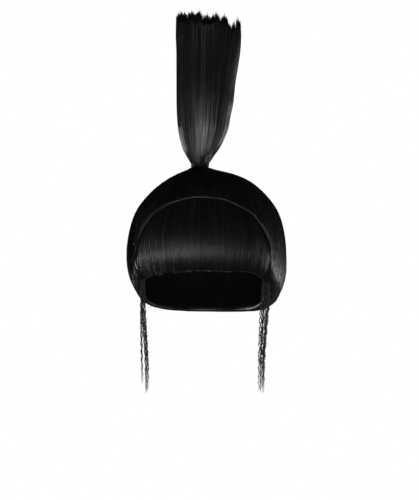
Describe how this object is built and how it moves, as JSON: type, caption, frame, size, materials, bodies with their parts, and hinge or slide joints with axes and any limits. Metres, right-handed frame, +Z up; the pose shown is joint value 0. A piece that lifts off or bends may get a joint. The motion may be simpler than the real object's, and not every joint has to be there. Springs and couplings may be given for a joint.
{
  "type": "wig",
  "caption": "Rounded black updo wig with a puffed fringe, an upright tied top tuft with a ragged cut top, and thin sidelocks; hollow for a head.",
  "frame": {"origin": "the top of the wearer's head, on the inside of the hollow, which is where the wig rests when it is worn or held up", "axes": "+Z up along the tuft, -Y is the front where the fringe is, +X is the right-hand side as seen from the front"},
  "size_m": [0.1788, 0.2237, 0.4247],
  "materials": {
    "hair": "glossy combed synthetic hair",
    "thin_hair": "loose thin synthetic hair",
    "elastic": "covered elastic band"
  },
  "bodies": {
    "root": {"crown_hair": "hair", "fringe": "hair", "top_tuft": "hair", "hair_tie": "elastic", "sidelock_left": "thin_hair", "sidelock_right": "thin_hair"}
  },
  "joints": []
}
